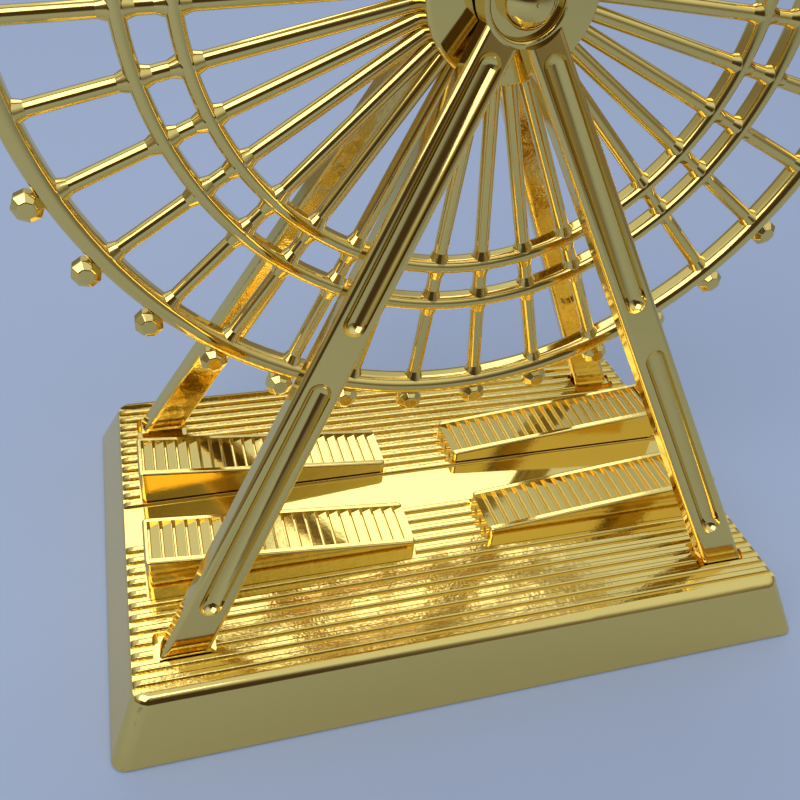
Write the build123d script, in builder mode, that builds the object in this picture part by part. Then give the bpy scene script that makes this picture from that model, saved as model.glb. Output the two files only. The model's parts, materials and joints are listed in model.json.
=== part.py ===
"""Table-top ferris wheel: a ribbed plinth, two leaning A-frames and a hand-turned spoked wheel.

Millimetres. The origin is the middle of the underside, +Z is up and the wheel turns about Y.
"""

import os
from math import atan, cos, radians, sin

from build123d import *

os.makedirs("parts", exist_ok=True)

# Plinth
BASE_TOP_X, BASE_TOP_Y = 120.0, 76.0
BASE_FLARE_X, BASE_FLARE_Y = 4.7, 4.9
BASE_HEIGHT = 11.6
RIB_HEIGHT = 0.6
RIB_WIDTH = 1.35
RIB_PITCH = 2.62
RIB_COUNT = 12
RIB_FIELD_HALF_WIDTH = 36.7
RIB_ROUND = 0.4
CHANNEL_HALF_WIDTH = 5.24
RIM_STANDOFF = 0.3
WALL = 2.6
DECK_THICKNESS = 3.0
CORNER_RADIUS = 3.0
TOP_EDGE_RADIUS = 2.0

# Underside
PLATE_THICKNESS = 1.0
FELT_THICKNESS = 1.3
PLATE_GAP = 0.2
FELT_MARGIN = 1.5
PLATE_SCREW_X, PLATE_SCREW_Y = 34.0, 22.0
PILLAR_RADIUS = 3.4
PILLAR_ROOT = 0.5

# Boarding ramps
RAMP_X_LOW, RAMP_X_HIGH = 7.6, 56.6
RAMP_Y_INNER, RAMP_Y_OUTER = 5.7, 16.8
RAMP_RISE_LOW, RAMP_RISE_HIGH = 2.4, 7.4
RAMP_RAIL = 1.1
RAMP_HIGH_END_RIM = 0.8
RAMP_CORNER_ROUND, RAMP_EDGE_ROUND = 0.9, 0.4
STEP_COUNT = 22
STEP_NOSE_DROP = 0.25
STEP_DIP = 0.3
STEP_GROOVE_WIDTH, STEP_GROOVE_DEPTH = 0.45, 0.3
STEP_EDGE_ROUND = 0.12
STEP_HEADROOM = 1.0
RAMP_CLEARANCE = 0.3
PEG_RADIUS, PEG_LENGTH = 1.2, 2.2
PEG_X = (18.0, 46.0)

# A-frames
LEAN = 0.2185
FRAME_FRONT_Y = -31.3
FRAME_THICKNESS = 4.1
LEG_OUTER_X, LEG_OUTER_SLOPE = 55.65, -0.536
LEG_INNER_X, LEG_INNER_SLOPE = 47.4, -0.5155
LEG_EDGE_RADIUS = 0.9
FOOT_X = (47.3, 55.65)
FOOT_Y = (-31.3, -26.55)
FOOT_DEPTH = 2.0
POCKET_SIDE_GAP, POCKET_FRONT_GAP, POCKET_REAR_GAP = 0.9, 0.25, 1.25
POCKET_ROUND = 0.8
FLUTE_HALF_WIDTH, FLUTE_DEPTH = 1.8, 1.3
UPPER_FLUTE_Z = (54.3, 88.7)
LOWER_FLUTE_Z = (9.0, 44.0)
SLOT_WIDTH, SLOT_DEPTH = 4.0, 0.8
SLOT_Z = (31.0, 86.0)

# Wheel
HUB_ABOVE_DECK = 96.7
RING_RADII = (44.6, 51.75, 69.3)
RING_HALF_WIDTHS = (1.2, 1.2, 1.7)
RING_HALF_DEPTHS = (1.9, 1.95, 2.3)
SPOKE_COUNT = 36
FIRST_SPOKE_ANGLE = 5.0
SPOKE_RADIUS = 1.2
FLARE_RADIUS, FLARE_LENGTH, FLARE_ROOT = 1.75, 1.2, 0.3
DRUM_RADIUS = 12.7
DRUM_HALF_DEPTH = 6.3
DRUM_WALL = 1.8
HUB_BOSS_RADIUS = 5.4
WEB_THICKNESS = 2.0
COVER_THICKNESS = 1.4
COVER_EDGE = 0.6
SPIGOT_WALL, SPIGOT_LENGTH = 1.0, 1.5

# Axle and bushes
AXLE_RADIUS = 2.0
AXLE_STUB_RADIUS = 1.4
STUB_END_Y = 12.4
BUSH_RADIUS = 3.4
BUSH_FLANGE_RADIUS, BUSH_FLANGE_THICKNESS = 4.5, 0.5
BUSH_INNER_END = 1.5
RUNNING_GAP = 0.04
SEAT_GAP = 0.02
THRUST_GAP = 0.1

# Crown of the A-frames and the caps on the axle's ends
CROWN_RADIUS = 6.2
CROWN_FACE_Y = 10.6
CROWN_RIM_RADIUS = 5.2
CROWN_RECESS = 1.2
CROWN_LIP_ROUND = 0.5
CAP_RADIUS = 3.7
CAP_FACE_Y = 13.6
CAP_DOME = 2.4

# Cabins
CABIN_CENTRE_RADIUS = 73.0
CABIN_SIDES = 8
CABIN_RADIUS = 2.35
CABIN_HALF_DEPTH = 1.8
CABIN_BEVEL = 1.0
CABIN_EDGE_ROUND = 0.4

# Screws
SCREW_RADIUS = 0.98
SCREW_HOLE_RADIUS = 1.0
SCREW_HEAD_RADIUS, SCREW_HEAD_HEIGHT = 1.9, 1.4
COUNTERSINK_ANGLE = 90
PLATE_SCREW_LENGTH = 6.0
FOOT_PILLAR_LENGTH = 4.0
FOOT_SCREW_REACH = 4.8
SCREW_TIP_GAP = 0.4

FLOOR_Z = BASE_HEIGHT - RIB_HEIGHT
CAVITY_TOP = FLOOR_Z - DECK_THICKNESS
CAVITY_X, CAVITY_Y = BASE_TOP_X - 2 * WALL, BASE_TOP_Y - 2 * WALL
PLATE_TOP = FELT_THICKNESS + PLATE_THICKNESS
POCKET_FLOOR = BASE_HEIGHT - FOOT_DEPTH
FOOT_PILLAR_BOTTOM = POCKET_FLOOR - FOOT_PILLAR_LENGTH
LEAN_ANGLE = atan(LEAN)
CROWN_BACK_Y = DRUM_HALF_DEPTH + BUSH_FLANGE_THICKNESS + THRUST_GAP
CROWN_FLOOR_Y = CROWN_FACE_Y - CROWN_RECESS
HUB_HEIGHT = BASE_HEIGHT + HUB_ABOVE_DECK
HUB_HALF_DEPTH = DRUM_HALF_DEPTH - COVER_THICKNESS
FOOT_CENTRE_X, FOOT_CENTRE_Y = sum(FOOT_X) / 2, sum(FOOT_Y) / 2
FOOT_SIZE_X, FOOT_SIZE_Y = FOOT_X[1] - FOOT_X[0], FOOT_Y[1] - FOOT_Y[0]
POCKET_SIZE_X = FOOT_SIZE_X + 2 * POCKET_SIDE_GAP
POCKET_SIZE_Y = FOOT_SIZE_Y + POCKET_FRONT_GAP + POCKET_REAR_GAP
POCKET_CENTRE_Y = FOOT_CENTRE_Y + (POCKET_REAR_GAP - POCKET_FRONT_GAP) / 2
RAMP_SIZE_X, RAMP_SIZE_Y = RAMP_X_HIGH - RAMP_X_LOW, RAMP_Y_OUTER - RAMP_Y_INNER
RAMP_CENTRE_X, RAMP_CENTRE_Y = (RAMP_X_LOW + RAMP_X_HIGH) / 2, (RAMP_Y_INNER + RAMP_Y_OUTER) / 2

BASE_UP = (Align.CENTER, Align.CENTER, Align.MIN)
SIDES = (-1, 1)
CORNERS = [(x, y) for x in SIDES for y in SIDES]
FOOT_PLACES = [(x * FOOT_CENTRE_X, y * FOOT_CENTRE_Y) for x, y in CORNERS]
POCKET_PLACES = [(x * FOOT_CENTRE_X, y * POCKET_CENTRE_Y) for x, y in CORNERS]
RAMP_PLACES = [(x * RAMP_CENTRE_X, y * RAMP_CENTRE_Y) for x, y in CORNERS]
PEG_PLACES = [(x * peg, y * RAMP_CENTRE_Y) for x, y in CORNERS for peg in PEG_X]
PLATE_SCREW_PLACES = [(x * PLATE_SCREW_X, y * PLATE_SCREW_Y) for x, y in CORNERS]

WHEEL_PLANE = Plane(origin=(0, 0, HUB_HEIGHT), x_dir=(1, 0, 0), z_dir=(0, -1, 0))
LEG_PLANE = Plane(
    origin=(0, FRAME_FRONT_Y, BASE_HEIGHT),
    x_dir=(1, 0, 0),
    z_dir=(0, -cos(LEAN_ANGLE), sin(LEAN_ANGLE)),
)

# Plinth: a hollow casting with a ribbed deck, a plain channel along its middle and four foot pockets.
FIRST_RIB_Y = CHANNEL_HALF_WIDTH + RIB_WIDTH / 2
RIB_Y = [side * (FIRST_RIB_Y + RIB_PITCH * step) for side in SIDES for step in range(RIB_COUNT)]

with BuildPart() as rib:
    Box(2 * BASE_TOP_X, RIB_WIDTH, 2 * RIB_HEIGHT)
    fillet(rib.faces().sort_by(Axis.Z)[-1].edges(), RIB_ROUND)

# What is sunk between the ribs, out through both ends of the deck.
with BuildPart() as sunk_field:
    Box(1.5 * BASE_TOP_X, 2 * RIB_FIELD_HALF_WIDTH, 2 * RIB_HEIGHT, align=BASE_UP)
    with Locations([(0, y, 0) for y in RIB_Y]):
        add(rib.part, mode=Mode.SUBTRACT)

with BuildPart() as base_casting:
    with BuildSketch(Plane.XY.offset(RIM_STANDOFF)):
        Rectangle(BASE_TOP_X + 2 * BASE_FLARE_X, BASE_TOP_Y + 2 * BASE_FLARE_Y)
    with BuildSketch(Plane.XY.offset(BASE_HEIGHT)):
        Rectangle(BASE_TOP_X, BASE_TOP_Y)
    loft(ruled=True)
    upright = base_casting.edges().filter_by(lambda edge: abs(edge.tangent_at(0).Z) > 0.5)
    fillet(upright, CORNER_RADIUS)
    fillet(base_casting.faces().sort_by(Axis.Z)[-1].edges(), TOP_EDGE_RADIUS)
    with Locations((0, 0, FLOOR_Z)):
        add(sunk_field.part, mode=Mode.SUBTRACT)
    with Locations([(x, y, FLOOR_Z) for x, y in RAMP_PLACES]):
        Box(
            RAMP_SIZE_X + 2 * RAMP_CLEARANCE,
            RAMP_SIZE_Y + 2 * RAMP_CLEARANCE,
            2 * RIB_HEIGHT,
            align=BASE_UP,
            mode=Mode.SUBTRACT,
        )
    with BuildSketch(Plane.XY.offset(POCKET_FLOOR)):
        with Locations(POCKET_PLACES):
            RectangleRounded(POCKET_SIZE_X, POCKET_SIZE_Y, POCKET_ROUND)
    extrude(amount=2 * FOOT_DEPTH, mode=Mode.SUBTRACT)
    Box(CAVITY_X, CAVITY_Y, CAVITY_TOP, align=BASE_UP, mode=Mode.SUBTRACT)
    with Locations([(x, y, PLATE_TOP) for x, y in PLATE_SCREW_PLACES]):
        Cylinder(PILLAR_RADIUS, CAVITY_TOP + PILLAR_ROOT - PLATE_TOP, align=BASE_UP)
    with Locations([(x, y, PLATE_TOP) for x, y in PLATE_SCREW_PLACES]):
        Cylinder(SCREW_HOLE_RADIUS, CAVITY_TOP - PLATE_TOP, align=BASE_UP, mode=Mode.SUBTRACT)
    with Locations([(x, y, FOOT_PILLAR_BOTTOM) for x, y in FOOT_PLACES]):
        Cylinder(PILLAR_RADIUS, CAVITY_TOP + PILLAR_ROOT - FOOT_PILLAR_BOTTOM, align=BASE_UP)
    with Locations([(x, y, FOOT_PILLAR_BOTTOM) for x, y in FOOT_PLACES]):
        Cylinder(SCREW_HOLE_RADIUS, 2 * FOOT_PILLAR_LENGTH, align=BASE_UP, mode=Mode.SUBTRACT)
    with Locations([(x, y, FLOOR_Z) for x, y in PEG_PLACES]):
        Cylinder(PEG_RADIUS + SEAT_GAP, 2 * (PEG_LENGTH + SEAT_GAP), mode=Mode.SUBTRACT)
base_casting.part.label = "base_casting"
export_step(base_casting.part, "parts/base_casting.step")

# Underside: a closing plate, its countersunk screws and the felt pad that the toy stands on.
with BuildPart() as bottom_plate:
    with BuildSketch(Plane.XY.offset(FELT_THICKNESS)):
        RectangleRounded(CAVITY_X - 2 * PLATE_GAP, CAVITY_Y - 2 * PLATE_GAP, CORNER_RADIUS)
    extrude(amount=PLATE_THICKNESS)
    with Locations([Location((x, y, FELT_THICKNESS), (180, 0, 0)) for x, y in PLATE_SCREW_PLACES]):
        CounterSinkHole(
            SCREW_HOLE_RADIUS,
            SCREW_HEAD_RADIUS,
            counter_sink_angle=COUNTERSINK_ANGLE,
        )
bottom_plate.part.label = "bottom_plate"
export_step(bottom_plate.part, "parts/bottom_plate.step")

with BuildPart() as plate_screws:
    with Locations([(x, y, FELT_THICKNESS) for x, y in PLATE_SCREW_PLACES]):
        Cone(
            SCREW_HEAD_RADIUS - SEAT_GAP,
            SCREW_RADIUS,
            SCREW_HEAD_RADIUS - SCREW_HOLE_RADIUS,
            align=BASE_UP,
        )
        Cylinder(SCREW_RADIUS, PLATE_SCREW_LENGTH, align=BASE_UP)
plate_screws.part.label = "plate_screws"
export_step(plate_screws.part, "parts/plate_screws.step")

with BuildPart() as felt_pad:
    with BuildSketch():
        RectangleRounded(CAVITY_X - 2 * FELT_MARGIN, CAVITY_Y - 2 * FELT_MARGIN, CORNER_RADIUS)
    extrude(amount=FELT_THICKNESS)
felt_pad.part.label = "felt_pad"
export_step(felt_pad.part, "parts/felt_pad.step")

# Flat-headed screws that pull each foot of the A-frames down into its pocket.
with BuildPart() as foot_screws:
    with Locations([(x, y, FOOT_PILLAR_BOTTOM - SCREW_HEAD_HEIGHT) for x, y in FOOT_PLACES]):
        Cylinder(SCREW_HEAD_RADIUS, SCREW_HEAD_HEIGHT, align=BASE_UP)
        Cylinder(
            SCREW_RADIUS,
            SCREW_HEAD_HEIGHT + FOOT_PILLAR_LENGTH + FOOT_SCREW_REACH,
            align=BASE_UP,
        )
foot_screws.part.label = "foot_screws"
export_step(foot_screws.part, "parts/foot_screws.step")


# Boarding ramps: wedges that climb outwards, stepped between two rails, each on two pressed pegs.
def rail_height(x):
    share = (x - RAMP_X_LOW) / RAMP_SIZE_X
    return BASE_HEIGHT + RAMP_RISE_LOW + share * (RAMP_RISE_HIGH - RAMP_RISE_LOW)


def step_outline():
    start, end = RAMP_X_LOW, RAMP_X_HIGH - RAMP_HIGH_END_RIM
    pitch = (end - start) / STEP_COUNT
    above = rail_height(end) + STEP_HEADROOM
    outside = start - STEP_HEADROOM
    points = [(outside, above), (outside, rail_height(start) - STEP_NOSE_DROP)]
    for step in range(STEP_COUNT):
        x = start + step * pitch
        nose = rail_height(x) - STEP_NOSE_DROP
        toe, groove_floor = nose - STEP_DIP, nose - STEP_DIP - STEP_GROOVE_DEPTH
        groove_x = x + pitch - STEP_GROOVE_WIDTH
        points += [(x, nose), (groove_x, toe), (groove_x, groove_floor), (x + pitch, groove_floor)]
    return points + [(end, above)]


with BuildPart() as ramp:
    with BuildSketch(Plane.XZ):
        with BuildLine():
            Polyline(
                (RAMP_X_LOW, FLOOR_Z),
                (RAMP_X_HIGH, FLOOR_Z),
                (RAMP_X_HIGH, rail_height(RAMP_X_HIGH)),
                (RAMP_X_LOW, rail_height(RAMP_X_LOW)),
                close=True,
            )
        make_face()
    extrude(amount=RAMP_SIZE_Y / 2, both=True)
    fillet(ramp.edges().filter_by(Axis.Z), RAMP_CORNER_ROUND)
    fillet(ramp.faces().sort_by(Axis.Z)[-1].edges(), RAMP_EDGE_ROUND)
    with BuildSketch(Plane.XZ):
        with BuildLine():
            Polyline(*step_outline(), close=True)
        treads_and_grooves = make_face()
        last_groove = RAMP_X_HIGH - RAMP_HIGH_END_RIM
        corners = [v for v in treads_and_grooves.vertices() if RAMP_X_LOW < v.X < last_groove]
        fillet(corners, STEP_EDGE_ROUND)
    extrude(amount=RAMP_SIZE_Y / 2 - RAMP_RAIL, both=True, mode=Mode.SUBTRACT)
    with Locations([(x, 0, FLOOR_Z) for x in PEG_X]):
        Cylinder(PEG_RADIUS, PEG_LENGTH, align=(Align.CENTER, Align.CENTER, Align.MAX))

for across, y in (("front", -RAMP_CENTRE_Y), ("rear", RAMP_CENTRE_Y)):
    for along, turn in (("left", 180), ("right", 0)):
        with BuildPart() as boarding_ramp:
            with Locations(Location((0, y, 0), (0, 0, turn))):
                add(ramp.part)
        boarding_ramp.part.label = f"boarding_ramp_{across}_{along}"
        export_step(boarding_ramp.part, f"parts/boarding_ramp_{across}_{along}.step")


# A-frames: two fluted legs that lean in to a round crown, with square feet let into the deck.
def outer_x(z):
    return LEG_OUTER_X + LEG_OUTER_SLOPE * z


def inner_x(z):
    return LEG_INNER_X + LEG_INNER_SLOPE * z


def leg_centre(side, z, depth):
    """The middle of a leg in space, from its height above the deck and its depth in the leg."""
    across = side * (outer_x(z) + inner_x(z)) / 2
    return LEG_PLANE.from_local_coords(Vector(across, z / cos(LEAN_ANGLE), -depth))


def leg(side):
    """One leg as a leaning bar with rounded edges, from below its pocket up to the hub's height."""
    low, high = -2 * FOOT_DEPTH, HUB_ABOVE_DECK
    outline = [(outer_x(low), low), (outer_x(high), high), (inner_x(high), high), (inner_x(low), low)]
    with BuildPart() as bar:
        with BuildSketch(LEG_PLANE):
            with BuildLine():
                Polyline(*[(side * x, z / cos(LEAN_ANGLE)) for x, z in outline], close=True)
            make_face()
        extrude(amount=-FRAME_THICKNESS)
        fillet(bar.edges().filter_by(lambda edge: edge.length > high), LEG_EDGE_RADIUS)
    return bar.part


def flute(side, low_z, high_z):
    """The round-ended hollow in a leg's face: a sunken capsule, as deep and wide as the flute."""
    radius = (FLUTE_HALF_WIDTH**2 + FLUTE_DEPTH**2) / (2 * FLUTE_DEPTH)
    low = leg_centre(side, low_z, FLUTE_DEPTH - radius)
    high = leg_centre(side, high_z, FLUTE_DEPTH - radius)
    with BuildPart(Plane(origin=low, z_dir=high - low)) as cutter:
        Cylinder(radius, (high - low).length, align=BASE_UP)
        with Locations((0, 0, 0), (0, 0, (high - low).length)):
            Sphere(radius)
    return cutter.part


def back_slot(side):
    """The flat-bottomed slot in the side of a leg that faces the wheel."""
    low = leg_centre(side, SLOT_Z[0], FRAME_THICKNESS)
    high = leg_centre(side, SLOT_Z[1], FRAME_THICKNESS)
    plane = Plane(origin=(low + high) / 2, x_dir=high - low, z_dir=-LEG_PLANE.z_dir)
    with BuildPart() as cutter:
        with BuildSketch(plane):
            SlotCenterToCenter((high - low).length, SLOT_WIDTH)
        extrude(amount=-SLOT_DEPTH)
    return cutter.part


LEGS = [leg(side) for side in SIDES]
FLUTES = [flute(side, *span) for side in SIDES for span in (UPPER_FLUTE_Z, LOWER_FLUTE_Z)]
BACK_SLOTS = [back_slot(side) for side in SIDES]
FRONT_FEET = [(side * FOOT_CENTRE_X, FOOT_CENTRE_Y, POCKET_FLOOR) for side in SIDES]

with BuildPart() as front_a_frame:
    add(LEGS)
    with BuildSketch(WHEEL_PLANE.offset(CROWN_BACK_Y)):
        Circle(CROWN_RADIUS)
    extrude(amount=CROWN_FACE_Y - CROWN_BACK_Y)
    # The frame's own room trims the legs at the feet, at the pocket floor and behind the crown.
    with BuildSketch(Plane.XY.offset(POCKET_FLOOR)):
        with Locations((0, (FOOT_Y[0] - CROWN_BACK_Y) / 2)):
            Rectangle(2 * FOOT_X[1], -CROWN_BACK_Y - FOOT_Y[0])
    extrude(amount=HUB_HEIGHT + CROWN_RADIUS - POCKET_FLOOR, mode=Mode.INTERSECT)
    with Locations(FRONT_FEET):
        Box(FOOT_SIZE_X, FOOT_SIZE_Y, FOOT_DEPTH, align=BASE_UP)
    with Locations(FRONT_FEET):
        Cylinder(
            SCREW_HOLE_RADIUS,
            FOOT_SCREW_REACH + SCREW_TIP_GAP,
            align=BASE_UP,
            mode=Mode.SUBTRACT,
        )
    with BuildSketch(WHEEL_PLANE.offset(CROWN_FACE_Y)):
        Circle(CROWN_RADIUS)
    extrude(amount=FRAME_THICKNESS, mode=Mode.SUBTRACT)
    with BuildSketch(WHEEL_PLANE.offset(CROWN_FLOOR_Y)):
        Circle(CROWN_RIM_RADIUS)
    extrude(amount=FRAME_THICKNESS, mode=Mode.SUBTRACT)
    with BuildSketch(WHEEL_PLANE):
        Circle(AXLE_RADIUS + SEAT_GAP)
    extrude(amount=CROWN_FACE_Y, mode=Mode.SUBTRACT)
    rims = front_a_frame.edges().filter_by(GeomType.CIRCLE)
    lip = rims.filter_by(lambda edge: abs(edge.radius - CROWN_RIM_RADIUS) < SEAT_GAP).sort_by(Axis.Y)[0]
    fillet(lip, CROWN_LIP_ROUND)
    add(FLUTES, mode=Mode.SUBTRACT)
    add(BACK_SLOTS, mode=Mode.SUBTRACT)
front_a_frame.part.label = "front_a_frame"
export_step(front_a_frame.part, "parts/front_a_frame.step")

REAR_FRAME_SOLID = mirror(front_a_frame.part, about=Plane.XZ)

with BuildPart() as rear_a_frame:
    add(REAR_FRAME_SOLID)
rear_a_frame.part.label = "rear_a_frame"
export_step(rear_a_frame.part, "parts/rear_a_frame.step")

# Axle: a plain steel pin with a stub at each end for the domed caps.
with BuildPart() as axle:
    with BuildSketch(WHEEL_PLANE):
        Circle(AXLE_RADIUS)
    extrude(amount=CROWN_FLOOR_Y, both=True)
    with BuildSketch(WHEEL_PLANE):
        Circle(AXLE_STUB_RADIUS)
    extrude(amount=STUB_END_Y, both=True)
axle.part.label = "axle"
export_step(axle.part, "parts/axle.step")

CAP_RIM_Y = CAP_FACE_Y - CAP_DOME
CAP_BORE_RADIUS, CAP_BORE_END_Y = AXLE_STUB_RADIUS + SEAT_GAP, STUB_END_Y + SEAT_GAP

for name, side in (("axle_cap_front", 1), ("axle_cap_rear", -1)):
    with BuildPart() as axle_cap:
        # Drawn out along the axle and away from it.
        with BuildSketch(Plane(origin=(0, 0, HUB_HEIGHT), x_dir=(0, -side, 0), z_dir=(1, 0, 0))):
            with BuildLine():
                Polyline(
                    (CAP_RIM_Y, CAP_RADIUS),
                    (CROWN_FLOOR_Y, CAP_RADIUS),
                    (CROWN_FLOOR_Y, CAP_BORE_RADIUS),
                    (CAP_BORE_END_Y, CAP_BORE_RADIUS),
                    (CAP_BORE_END_Y, 0),
                    (CAP_FACE_Y, 0),
                )
                TangentArc((CAP_FACE_Y, 0), (CAP_RIM_Y, CAP_RADIUS), tangent=(0, 1))
            make_face()
        revolve(axis=Axis((0, 0, HUB_HEIGHT), (0, 1, 0)))
    axle_cap.part.label = name
    export_step(axle_cap.part, f"parts/{name}.step")

# Wheel casting: three rings, the spokes and the open drum at the hub.
SPOKE_START = DRUM_RADIUS - DRUM_WALL / 2
DRUM_WELL = HUB_HALF_DEPTH - WEB_THICKNESS / 2


def spoke_outline():
    """Half of a spoke, out along it and away from its middle line: a round bar, flared at each ring."""
    points = [(SPOKE_START, 0), (SPOKE_START, SPOKE_RADIUS)]
    for ring_radius, half_width in zip(RING_RADII, RING_HALF_WIDTHS):
        near, far = ring_radius - half_width, ring_radius + half_width
        points += [(near - FLARE_LENGTH, SPOKE_RADIUS), (near + FLARE_ROOT, FLARE_RADIUS)]
        if ring_radius == RING_RADII[-1]:
            points += [(ring_radius, FLARE_RADIUS), (ring_radius, 0)]
        else:
            points += [(far - FLARE_ROOT, FLARE_RADIUS), (far + FLARE_LENGTH, SPOKE_RADIUS)]
    return points


with BuildPart() as spoke:
    with BuildSketch():
        with BuildLine():
            Polyline(*spoke_outline(), close=True)
        make_face()
    revolve(axis=Axis.X)

RINGS = []
for ring_radius, half_width, half_depth in zip(RING_RADII, RING_HALF_WIDTHS, RING_HALF_DEPTHS):
    with BuildPart() as ring:
        with BuildSketch(Plane.XZ):
            with Locations((ring_radius, 0)):
                SlotOverall(2 * half_depth, 2 * half_width, rotation=90)
        revolve(axis=Axis.Z)
    RINGS.append(ring.part)

with BuildPart(WHEEL_PLANE) as wheel_casting:
    Cylinder(DRUM_RADIUS, 2 * HUB_HALF_DEPTH)
    with Locations([(0, 0, side * (HUB_HALF_DEPTH - DRUM_WELL / 2)) for side in SIDES]):
        Cylinder(DRUM_RADIUS - DRUM_WALL, DRUM_WELL, mode=Mode.SUBTRACT)
    Cylinder(HUB_BOSS_RADIUS, 2 * HUB_HALF_DEPTH)
    Cylinder(BUSH_RADIUS + SEAT_GAP, 2 * HUB_HALF_DEPTH, mode=Mode.SUBTRACT)
    with PolarLocations(0, SPOKE_COUNT, start_angle=FIRST_SPOKE_ANGLE):
        add(spoke.part)
    add(RINGS)
wheel_casting.part.label = "wheel_casting"
export_step(wheel_casting.part, "parts/wheel_casting.step")

# Hub covers close the drum's two mouths, each located by a thin spigot.
SPIGOT_RADIUS = DRUM_RADIUS - DRUM_WALL - SEAT_GAP

for name, side in (("hub_cover_front", 1), ("hub_cover_rear", -1)):
    with BuildPart() as hub_cover:
        with BuildSketch(WHEEL_PLANE.offset(side * HUB_HALF_DEPTH)):
            Circle(DRUM_RADIUS)
            Circle(BUSH_RADIUS + SEAT_GAP, mode=Mode.SUBTRACT)
        extrude(amount=side * COVER_THICKNESS)
        outer_face = hub_cover.faces().filter_by(Axis.Y).sort_by(Axis.Y)[0 if side > 0 else -1]
        fillet(outer_face.outer_wire().edges(), COVER_EDGE)
        with BuildSketch(WHEEL_PLANE.offset(side * HUB_HALF_DEPTH)):
            Circle(SPIGOT_RADIUS)
            Circle(SPIGOT_RADIUS - SPIGOT_WALL, mode=Mode.SUBTRACT)
        extrude(amount=-side * SPIGOT_LENGTH)
    hub_cover.part.label = name
    export_step(hub_cover.part, f"parts/{name}.step")

# Flanged bushes, pressed in from each side, carry the wheel on its axle.
for name, side in (("bush_front", 1), ("bush_rear", -1)):
    with BuildPart() as bush:
        with BuildSketch(WHEEL_PLANE.offset(side * BUSH_INNER_END)):
            Circle(BUSH_RADIUS)
        extrude(amount=side * (DRUM_HALF_DEPTH - BUSH_INNER_END))
        with BuildSketch(WHEEL_PLANE.offset(side * DRUM_HALF_DEPTH)):
            Circle(BUSH_FLANGE_RADIUS)
        extrude(amount=side * BUSH_FLANGE_THICKNESS)
        with BuildSketch(WHEEL_PLANE):
            Circle(AXLE_RADIUS + RUNNING_GAP)
        extrude(amount=side * CROWN_BACK_Y, mode=Mode.SUBTRACT)
    bush.part.label = name
    export_step(bush.part, f"parts/{name}.step")

# Cabins: softly rounded eight-sided beads, each seated on the outside of the outer ring.
with BuildPart() as cabin:
    with BuildSketch():
        RegularPolygon(CABIN_RADIUS, CABIN_SIDES, rotation=180 / CABIN_SIDES)
    extrude(amount=CABIN_HALF_DEPTH, both=True)
    chamfer(cabin.faces().filter_by(Axis.Z).edges(), CABIN_BEVEL)
    fillet(cabin.edges(), CABIN_EDGE_ROUND)
    with Locations((-CABIN_CENTRE_RADIUS, 0, 0)):
        add(RINGS[-1], mode=Mode.SUBTRACT)

for number in range(SPOKE_COUNT):
    angle = FIRST_SPOKE_ANGLE + number * 360 / SPOKE_COUNT
    across, up = cos(radians(angle)), sin(radians(angle))
    place = Location((CABIN_CENTRE_RADIUS * across, CABIN_CENTRE_RADIUS * up, 0), (0, 0, angle))
    with BuildPart(WHEEL_PLANE) as hung_cabin:
        with Locations(place):
            add(cabin.part)
    hung_cabin.part.label = f"cabin_{number + 1:02d}"
    export_step(hung_cabin.part, f"parts/cabin_{number + 1:02d}.step")
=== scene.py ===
"""Looks of a gold-plated table-top ferris wheel: its finishes, the studio and the camera.

Lengths are in metres, in the frame of the solids. Those whose name ends in _mm are turned by MM.
"""

from __future__ import annotations

import json
import logging
import math
from dataclasses import dataclass
from enum import Enum

import bpy
from bpy.types import Material, Node, NodeSocket, NodeTree
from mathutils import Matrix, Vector

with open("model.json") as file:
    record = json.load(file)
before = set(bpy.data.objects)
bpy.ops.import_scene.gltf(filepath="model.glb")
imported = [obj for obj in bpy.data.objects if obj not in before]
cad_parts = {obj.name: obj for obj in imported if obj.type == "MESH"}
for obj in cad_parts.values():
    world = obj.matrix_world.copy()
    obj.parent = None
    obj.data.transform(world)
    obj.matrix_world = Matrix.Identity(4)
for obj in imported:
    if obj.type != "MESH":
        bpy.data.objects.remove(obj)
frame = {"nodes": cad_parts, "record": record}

LOG = logging.getLogger("ferris_wheel")
MM = 0.001
# The middle of the toy, in metres, which the lamps look at.
LAMP_AIM = Vector((0.0, 0.0, 0.09))
# How many finer octaves each noise carries.
NOISE_DETAIL = 2.0


class Slot(Enum):
    """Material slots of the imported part."""

    GOLD = "gold_plating"
    AXLE = "steel_axle"
    PLATE = "steel_plate"
    SCREWS = "steel_screws"
    BUSH = "bronze_bush"
    FELT = "felt"


class Region(Enum):
    """The places that the polishing wheel doesn't reach."""

    RIBBED_DECK = "ribbed deck"
    FRAME_BACKS = "backs of the leaning frames"


def linear(hex_colour: str) -> tuple[float, float, float, float]:
    """Turns an sRGB hex colour into linear RGBA.

    Args:
        hex_colour: Six hex digits, with or without a leading hash.

    Returns:
        Linear red, green, blue and an alpha of 1.
    """
    digits = hex_colour.lstrip("#")
    channels = [int(digits[i : i + 2], 16) / 255 for i in (0, 2, 4)]
    red, green, blue = (c / 12.92 if c <= 0.04045 else ((c + 0.055) / 1.055) ** 2.4 for c in channels)
    return red, green, blue, 1.0


def add_node(
    tree: NodeTree,
    kind: str,
    settings: dict[str | int, object] | None = None,
    links: dict[str | int, NodeSocket] | None = None,
) -> Node:
    """Adds a node, sets its properties and sockets, and links its inputs.

    Args:
        tree: The tree that the node joins.
        kind: Blender's name for the node's type.
        settings: Values by socket name or number, or by property name where no socket has it.
        links: Output sockets by the name or number of the input that each one feeds.

    Returns:
        The new node.
    """
    node = tree.nodes.new(kind)
    for name, value in (settings or {}).items():
        if isinstance(name, int) or name in node.inputs:
            node.inputs[name].default_value = value
        else:
            setattr(node, name, value)
    for name, source in (links or {}).items():
        tree.links.new(source, node.inputs[name])
    return node


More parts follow.
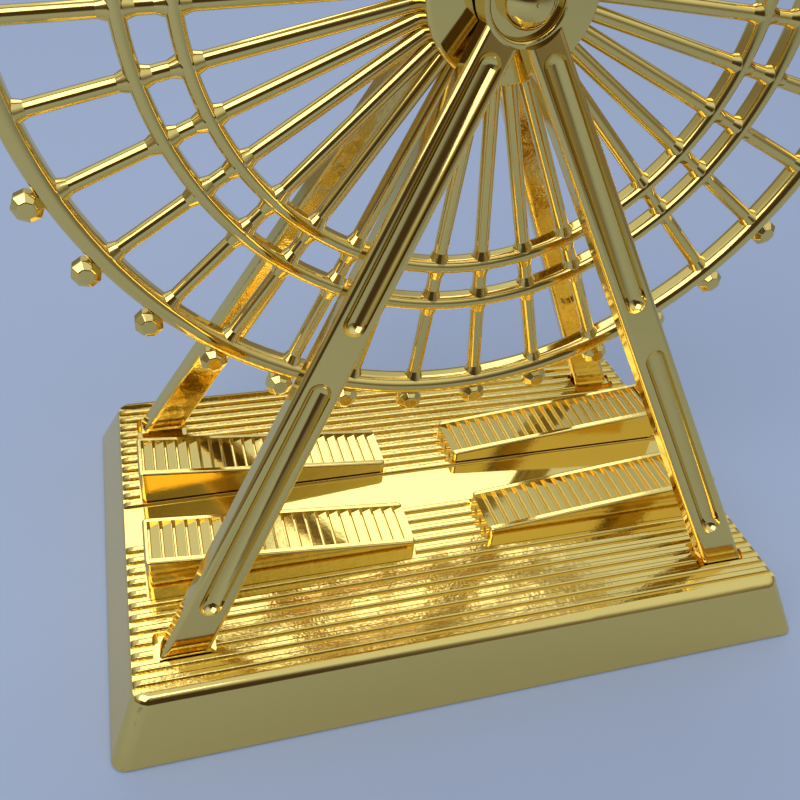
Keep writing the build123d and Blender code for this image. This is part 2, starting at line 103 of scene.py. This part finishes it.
def new_material(name: str) -> tuple[Material, NodeTree]:
    """Makes an empty node material and returns it with its tree."""
    material = bpy.data.materials.new(name)
    material.use_nodes = True
    material.node_tree.nodes.clear()
    return material, material.node_tree


@dataclass(frozen=True)
class Relief:
    """One scale of unevenness in a surface: how wide its cells are, how deep, and how drawn out along Y."""

    cell_mm: float
    height_mm: float
    drawn_out: float = 1.0

    def add(
        self,
        tree: NodeTree,
        place: NodeSocket,
        under: NodeSocket | None = None,
        share: NodeSocket | None = None,
    ) -> NodeSocket:
        """Adds this relief to a material.

        Args:
            tree: The material's tree.
            place: The object's own coordinates.
            under: The normal of the relief that this one lies on.
            share: How much of it shows from place to place, or None for all of it.

        Returns:
            The new normal.
        """
        squeezed = add_node(
            tree,
            "ShaderNodeVectorMath",
            {"operation": "MULTIPLY", 1: (1.0, 1 / self.drawn_out, 1.0)},
            {0: place},
        )
        # One noise cell is as wide as the real relief, in metres.
        noise = add_node(
            tree,
            "ShaderNodeTexNoise",
            {"Scale": 1 / (self.cell_mm * MM), "Detail": NOISE_DETAIL},
            {"Vector": squeezed.outputs[0]},
        )
        links = {"Height": noise.outputs[0]}
        if under is not None:
            links["Normal"] = under
        if share is not None:
            links["Strength"] = share
        settings = {"Strength": 1.0, "Distance": self.height_mm * MM}
        return add_node(tree, "ShaderNodeBump", settings, links).outputs[0]


@dataclass(frozen=True)
class PlatedMetal:
    """Bare or plated metal: a mirror that bends over the long waves and fine grain under it."""

    name: str
    colour: str
    roughness: float
    waves: Relief
    grain: Relief

    def build(self) -> Material:
        """Makes the metal and returns its material."""
        material, tree = new_material(self.name)
        place = add_node(tree, "ShaderNodeTexCoord").outputs["Object"]
        normal = self.grain.add(tree, place, self.waves.add(tree, place))
        settings = {"Base Color": linear(self.colour), "Metallic": 1.0, "Roughness": self.roughness}
        shader = add_node(tree, "ShaderNodeBsdfPrincipled", settings, {"Normal": normal})
        add_node(tree, "ShaderNodeOutputMaterial", links={"Surface": shader.outputs[0]})
        return material


@dataclass(frozen=True)
class PartPolishedMetal:
    """Plated metal that was polished wherever the wheel could reach, and left as cast elsewhere."""

    name: str
    polished: PlatedMetal
    as_cast: PlatedMetal
    region: Region

    # The ribs run between these distances from the middle, front and rear alike, and above this height.
    deck_mm: tuple[float, float] = (5.35, 36.8)
    deck_height_mm: float = 10.8
    # Each frame leans in by this much per unit of height, and its polished face, drawn on down to the
    # table, ends this far from the middle.
    frame_lean: float = 0.2185
    frame_back_mm: float = 30.9
    # One finish gives way to the other over this width.
    edge_mm: float = 0.3

    def rough_share(self, tree: NodeTree, place: NodeSocket) -> NodeSocket:
        """Tells the as-cast places from the polished ones.

        Args:
            tree: The material's tree.
            place: The object's own coordinates.

        Returns:
            1 where the metal is as cast and 0 where it is polished.
        """
        axes = add_node(tree, "ShaderNodeSeparateXYZ", links={0: place}).outputs
        aside = add_node(tree, "ShaderNodeMath", {"operation": "ABSOLUTE"}, {0: axes["Y"]}).outputs[0]
        inner, outer = (side * MM for side in self.deck_mm)
        height, back, edge = self.deck_height_mm * MM, self.frame_back_mm * MM, self.edge_mm * MM
        if self.region is Region.FRAME_BACKS:
            settings = {"operation": "MULTIPLY_ADD", 1: self.frame_lean}
            depth = add_node(tree, "ShaderNodeMath", settings, {0: axes["Z"], 2: aside}).outputs[0]
            borders = [(depth, back, back - edge)]
        else:
            borders = [
                (aside, inner, inner + edge),
                (aside, outer, outer - edge),
                (axes["Z"], height - edge, height),
            ]
        shares = []
        for value, start, end in borders:
            settings = {"interpolation_type": "SMOOTHSTEP", "From Min": start, "From Max": end}
            shares.append(add_node(tree, "ShaderNodeMapRange", settings, {"Value": value}).outputs[0])
        share = shares[0]
        for other in shares[1:]:
            both = add_node(tree, "ShaderNodeMath", {"operation": "MULTIPLY"}, {0: share, 1: other})
            share = both.outputs[0]
        return share

    def build(self) -> Material:
        """Makes the two finishes in one material, each in its own places.

        Returns:
            The material.
        """
        material, tree = new_material(self.name)
        place = add_node(tree, "ShaderNodeTexCoord").outputs["Object"]
        share = self.rough_share(tree, place)
        normal = self.polished.grain.add(tree, place, self.polished.waves.add(tree, place))
        normal = self.as_cast.waves.add(tree, place, normal, share)
        normal = self.as_cast.grain.add(tree, place, normal, share)
        roughness = add_node(
            tree,
            "ShaderNodeMapRange",
            {"To Min": self.polished.roughness, "To Max": self.as_cast.roughness},
            {"Value": share},
        )
        shader = add_node(
            tree,
            "ShaderNodeBsdfPrincipled",
            {"Base Color": linear(self.polished.colour), "Metallic": 1.0},
            {"Normal": normal, "Roughness": roughness.outputs[0]},
        )
        add_node(tree, "ShaderNodeOutputMaterial", links={"Surface": shader.outputs[0]})
        return material


@dataclass(frozen=True)
class PressedFelt:
    """Pressed wool felt: no shine, with a short nap of matted fibres."""

    name: str
    colour: str
    nap: Relief
    roughness: float = 1.0
    sheen: float = 0.3

    def build(self) -> Material:
        """Makes the felt and returns its material."""
        material, tree = new_material(self.name)
        place = add_node(tree, "ShaderNodeTexCoord").outputs["Object"]
        settings = {
            "Base Color": linear(self.colour),
            "Roughness": self.roughness,
            "Sheen Weight": self.sheen,
        }
        links = {"Normal": self.nap.add(tree, place)}
        shader = add_node(tree, "ShaderNodeBsdfPrincipled", settings, links)
        add_node(tree, "ShaderNodeOutputMaterial", links={"Surface": shader.outputs[0]})
        return material


GOLD = "#ECCF78"

# Polished by wheel: a clean mirror whose reflections bend a little over the casting's long waves.
POLISHED_GOLD = PlatedMetal(
    "gold plated zinc, polished",
    GOLD,
    roughness=0.08,
    waves=Relief(cell_mm=7.0, height_mm=0.02),
    grain=Relief(cell_mm=0.8, height_mm=0.0016),
)
# As cast: the same plating over skin that nobody polished, so each highlight breaks into dashes.
CAST_GOLD = PlatedMetal(
    "gold plated zinc, as cast",
    GOLD,
    roughness=0.12,
    waves=Relief(cell_mm=2.0, height_mm=0.075, drawn_out=3.0),
    grain=Relief(cell_mm=0.5, height_mm=0.02),
)
# Die-cast and only lightly rubbed: smooth treads and sides with shallow pits.
RUBBED_GOLD = PlatedMetal(
    "gold plated zinc, rubbed",
    GOLD,
    roughness=0.11,
    waves=Relief(cell_mm=3.2, height_mm=0.025),
    grain=Relief(cell_mm=0.6, height_mm=0.006),
)
PLINTH_GOLD = PartPolishedMetal(
    "gold plated zinc, polished sides and cast deck", POLISHED_GOLD, CAST_GOLD, Region.RIBBED_DECK
)
FRAME_GOLD = PartPolishedMetal(
    "gold plated zinc, polished faces and cast backs", POLISHED_GOLD, CAST_GOLD, Region.FRAME_BACKS
)
# Ground between wheels: an even grey with a soft gloss.
GROUND_STEEL = PlatedMetal(
    "steel, centreless ground",
    "#B4B4B6",
    roughness=0.22,
    waves=Relief(cell_mm=6.0, height_mm=0.004),
    grain=Relief(cell_mm=0.3, height_mm=0.002),
)
# Cold rolled: flat and grey, with a dull gloss.
ROLLED_STEEL = PlatedMetal(
    "steel sheet, cold rolled",
    "#A6A6A8",
    roughness=0.34,
    waves=Relief(cell_mm=8.0, height_mm=0.01),
    grain=Relief(cell_mm=0.4, height_mm=0.003),
)
# Zinc plated: a pale grey, slightly uneven.
ZINC_STEEL = PlatedMetal(
    "steel, zinc plated",
    "#B0B2B4",
    roughness=0.28,
    waves=Relief(cell_mm=1.5, height_mm=0.004),
    grain=Relief(cell_mm=0.2, height_mm=0.002),
)
# Sintered: a dull brown metal with fine pores.
SINTERED_BRONZE = PlatedMetal(
    "bronze, sintered",
    "#A97A48",
    roughness=0.42,
    waves=Relief(cell_mm=1.2, height_mm=0.008),
    grain=Relief(cell_mm=0.15, height_mm=0.004),
)
# Felt fibres are about 0.02 mm thick, so the nap is drawn coarser to show.
BLACK_FELT = PressedFelt("wool felt, pressed", "#2B2B2D", nap=Relief(cell_mm=0.25, height_mm=0.12))

SLOT_FINISH = {
    Slot.GOLD: POLISHED_GOLD,
    Slot.AXLE: GROUND_STEEL,
    Slot.PLATE: ROLLED_STEEL,
    Slot.SCREWS: ZINC_STEEL,
    Slot.BUSH: SINTERED_BRONZE,
    Slot.FELT: BLACK_FELT,
}
NODE_FINISH = {
    "base_casting": PLINTH_GOLD,
    "front_a_frame": FRAME_GOLD,
    "rear_a_frame": FRAME_GOLD,
    "boarding_ramp_front_left": RUBBED_GOLD,
    "boarding_ramp_front_right": RUBBED_GOLD,
    "boarding_ramp_rear_left": RUBBED_GOLD,
    "boarding_ramp_rear_right": RUBBED_GOLD,
}


@dataclass
class Dresser:
    """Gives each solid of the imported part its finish."""

    def dress(self) -> None:
        """Puts the right material on every node."""
        finishes = dict.fromkeys([*SLOT_FINISH.values(), *NODE_FINISH.values()])
        made = {finish: finish.build() for finish in finishes}
        slot_of = {part["node"]: Slot(part["material_slot"]) for part in frame["record"]["subparts"]}
        for name, solid in frame["nodes"].items():
            finish = NODE_FINISH.get(name, SLOT_FINISH[slot_of[name]])
            for index in range(len(solid.material_slots)):
                solid.material_slots[index].material = made[finish]
        LOG.info("dressed %d solids", len(frame["nodes"]))


@dataclass(frozen=True)
class SoftBox:
    """A square soft box: its place and side in metres, and its power in watts."""

    name: str
    place: tuple[float, float, float]
    side: float
    power: float

    def hang(self) -> None:
        """Hangs the soft box so that it looks at the object's middle."""
        lamp = bpy.data.lights.new(self.name, "AREA")
        lamp.shape, lamp.size, lamp.energy = "SQUARE", self.side, self.power
        holder = bpy.data.objects.new(self.name, lamp)
        holder.location = self.place
        holder.rotation_mode = "QUATERNION"
        aim = LAMP_AIM - Vector(self.place)
        holder.rotation_quaternion = aim.to_track_quat("-Z", "Y")
        bpy.context.scene.collection.objects.link(holder)


@dataclass
class Studio:
    """A pale seamless floor under a soft sky that is bright overhead, with two soft boxes."""

    floor_colour: str = "#9BA6BE"
    floor_size: float = 6.0
    floor_roughness: float = 0.9
    overhead: str = "#DEEAF8"
    horizon: str = "#7C7874"
    dark_side: str = "#453A30"
    dark_towards: tuple[float, float, float] = (-0.28, -0.94, 0.3)
    sky_rise: tuple[float, float] = (0.1, 0.75)
    dark_spread: tuple[float, float] = (0.68, 0.95)
    soft_boxes: tuple[SoftBox, ...] = (
        SoftBox("key soft box", (-0.42, -0.38, 0.78), 0.7, 3.8),
        SoftBox("rear soft box", (0.1, 0.53, 0.87), 0.6, 1.7),
    )

    def lay_floor(self) -> None:
        """Lays the seamless floor."""
        bpy.ops.mesh.primitive_plane_add(size=self.floor_size)
        floor = bpy.context.object
        floor.name = "seamless_floor"
        material, tree = new_material("paper backdrop, matt")
        settings = {"Base Color": linear(self.floor_colour), "Roughness": self.floor_roughness}
        shader = add_node(tree, "ShaderNodeBsdfPrincipled", settings)
        add_node(tree, "ShaderNodeOutputMaterial", links={"Surface": shader.outputs[0]})
        floor.data.materials.append(material)

    def light_sky(self) -> None:
        """Sets the sky: bright overhead, dim at the horizon and dark on the viewer's side."""
        world = bpy.data.worlds.new("studio sky")
        bpy.context.scene.world = world
        world.use_nodes = True
        tree = world.node_tree
        tree.nodes.clear()
        towards = add_node(tree, "ShaderNodeTexCoord").outputs["Object"]
        height = add_node(tree, "ShaderNodeSeparateXYZ", links={0: towards}).outputs["Z"]
        ahead = tuple(Vector(self.dark_towards).normalized())
        facing = add_node(tree, "ShaderNodeVectorMath", {"operation": "DOT_PRODUCT", 1: ahead}, {0: towards})
        sky = add_node(tree, "ShaderNodeRGB").outputs[0]
        sky.default_value = linear(self.horizon)
        for value, spread, colour in (
            (height, self.sky_rise, self.overhead),
            (facing.outputs["Value"], self.dark_spread, self.dark_side),
        ):
            settings = {"interpolation_type": "SMOOTHSTEP", "From Min": spread[0], "From Max": spread[1]}
            share = add_node(tree, "ShaderNodeMapRange", settings, {"Value": value}).outputs[0]
            links = {"Fac": share, "Color1": sky}
            sky = add_node(tree, "ShaderNodeMixRGB", {"Color2": linear(colour)}, links).outputs[0]
        background = add_node(tree, "ShaderNodeBackground", {"Strength": 1.0}, {"Color": sky})
        add_node(tree, "ShaderNodeOutputWorld", links={"Surface": background.outputs[0]})

    def build(self) -> None:
        """Sets up the floor, the sky and the soft boxes."""
        self.lay_floor()
        self.light_sky()
        for soft_box in self.soft_boxes:
            soft_box.hang()
        bpy.context.scene.view_settings.view_transform = "Standard"
        LOG.info("studio ready")


@dataclass
class Viewpoint:
    """The photograph's viewpoint: close to the toy and looking down on it from the front left."""

    place_mm: tuple[float, float, float] = (-51.095, -120.498, 134.448)
    turn_degrees: tuple[float, float, float] = (52.0294, -4.9503, -15.8563)
    lens_mm: float = 38.738
    sensor_mm: float = 36.0
    near_limit_mm: float = 1.0

    def build(self) -> None:
        """Makes the camera and hands it to the scene."""
        camera = bpy.data.cameras.new("viewpoint")
        camera.lens, camera.sensor_width = self.lens_mm, self.sensor_mm
        camera.clip_start = self.near_limit_mm * MM
        holder = bpy.data.objects.new("viewpoint", camera)
        holder.location = Vector(self.place_mm) * MM
        holder.rotation_euler = [math.radians(angle) for angle in self.turn_degrees]
        bpy.context.scene.collection.objects.link(holder)
        bpy.context.scene.camera = holder


def main() -> None:
    """Dresses the part and sets the studio and camera."""
    logging.basicConfig(level=logging.INFO, format="%(name)s: %(message)s")
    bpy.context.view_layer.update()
    Dresser().dress()
    Studio().build()
    Viewpoint().build()


if __name__ == "__main__":
    main()
